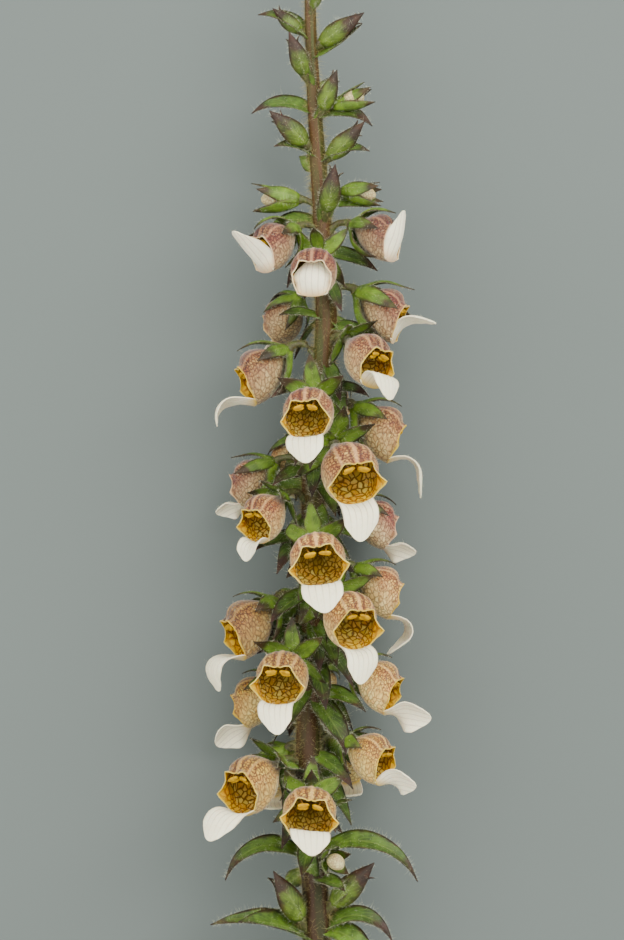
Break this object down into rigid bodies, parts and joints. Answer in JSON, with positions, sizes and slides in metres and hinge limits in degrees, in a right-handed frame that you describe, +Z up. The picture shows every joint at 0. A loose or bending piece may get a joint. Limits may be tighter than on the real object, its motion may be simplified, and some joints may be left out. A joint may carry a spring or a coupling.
{
  "type": "foxglove flower spike",
  "caption": "Cut foxglove spike lying on its back: a leafy stem with nodding, net-veined bells, each with a long white lower lip, and shut green buds towards its tip.",
  "frame": {"origin": "middle of the spike's bounding box, on the surface it lies on", "axes": "+Y along the stem from the cut end to the growing tip, +Z up from the surface, +X to the right seen from above with the tip away"},
  "size_m": [0.0534, 0.286, 0.0461],
  "materials": {
    "foliage": "soft green leaves and brown stem under fine pale hairs",
    "petal": "matte tan petal with brown net veins and a white lower lip",
    "young_petal": "matte pale unopened petal"
  },
  "bodies": {
    "root": {"leafy_stem": "foliage", "corolla_01": "petal", "corolla_02": "petal", "corolla_03": "petal", "corolla_04": "petal", "corolla_05": "petal", "corolla_06": "petal", "corolla_07": "petal", "corolla_08": "petal", "corolla_09": "petal", "corolla_10": "petal", "corolla_11": "petal", "corolla_12": "petal", "corolla_13": "petal", "corolla_14": "petal", "corolla_15": "petal", "corolla_16": "petal", "corolla_17": "petal", "corolla_18": "petal", "corolla_19": "petal", "corolla_20": "petal", "corolla_21": "petal", "corolla_22": "petal", "corolla_23": "petal", "corolla_24": "petal", "corolla_25": "petal", "corolla_26": "petal", "corolla_27": "petal", "corolla_28": "petal", "corolla_29": "petal", "corolla_30": "petal", "corolla_31": "petal", "corolla_32": "petal", "bud_corolla_01": "young_petal", "bud_corolla_02": "young_petal", "bud_corolla_03": "young_petal", "bud_corolla_04": "young_petal", "bud_corolla_05": "young_petal"}
  },
  "joints": []
}
